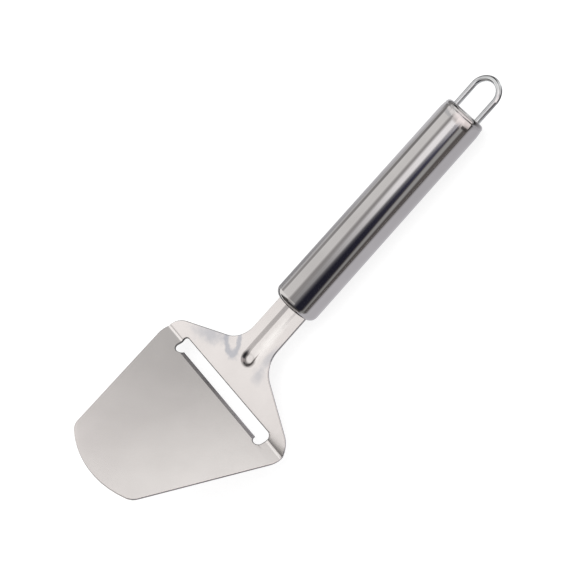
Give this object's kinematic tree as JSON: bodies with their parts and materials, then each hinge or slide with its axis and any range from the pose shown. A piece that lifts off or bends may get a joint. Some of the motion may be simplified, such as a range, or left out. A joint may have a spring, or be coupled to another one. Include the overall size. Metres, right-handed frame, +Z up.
{
  "type": "cheese slicer",
  "caption": "Hand cheese slicer: bent stainless plate with a slicing slot and ground lip, necked to a hollow tubular handle with a wire hanging loop.",
  "frame": {"origin": "middle of the fold between front plate and shoulders, on the sheet's top face, inside the slicing slot", "axes": "+Y along the handle towards the hanging loop, +X sideways, +Z up on the side that the slice comes out"},
  "size_m": [0.0846, 0.2247, 0.0442],
  "materials": {
    "sheet_steel": "satin",
    "polished_tube": "mirror polished",
    "plug_nylon": "moulded",
    "cap_steel": "polished",
    "wire_steel": "polished wire"
  },
  "bodies": {
    "root": {"slicer_head": "sheet_steel", "handle_tube": "polished_tube", "front_plug": "plug_nylon", "end_cap": "cap_steel", "hanging_loop": "wire_steel"}
  },
  "joints": []
}
